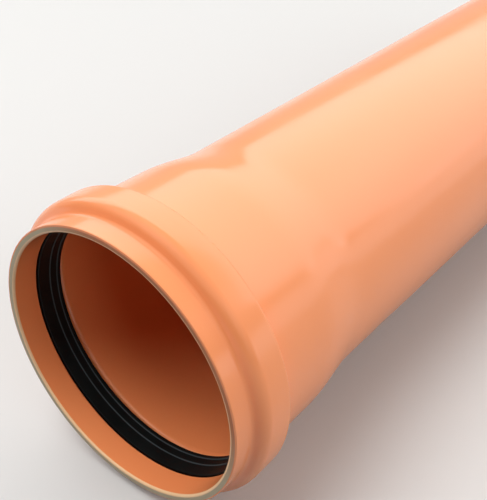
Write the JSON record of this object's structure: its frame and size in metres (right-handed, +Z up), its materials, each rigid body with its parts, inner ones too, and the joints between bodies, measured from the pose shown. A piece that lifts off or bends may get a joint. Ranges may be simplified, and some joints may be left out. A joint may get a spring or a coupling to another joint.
{
  "type": "drainage pipe",
  "caption": "Orange-brown PVC-U sewer pipe, 110 mm outside and 500 mm laying length, with a bell socket, seal groove, black rubber lip ring and chamfered plain end.",
  "frame": {"origin": "on the floor under the middle of the pipe's length, the pipe lying on its side", "axes": "+X along the pipe from the socket's mouth to the plain end, +Z up, +Y to the left when looking along +X"},
  "size_m": [0.5701, 0.128, 0.1279],
  "materials": {
    "pvc_orange_brown": "smooth extruded PVC-U, glossy",
    "rubber_black": "moulded, satin"
  },
  "bodies": {
    "root": {"pipe": "pvc_orange_brown", "seal_ring": "rubber_black"}
  },
  "joints": []
}
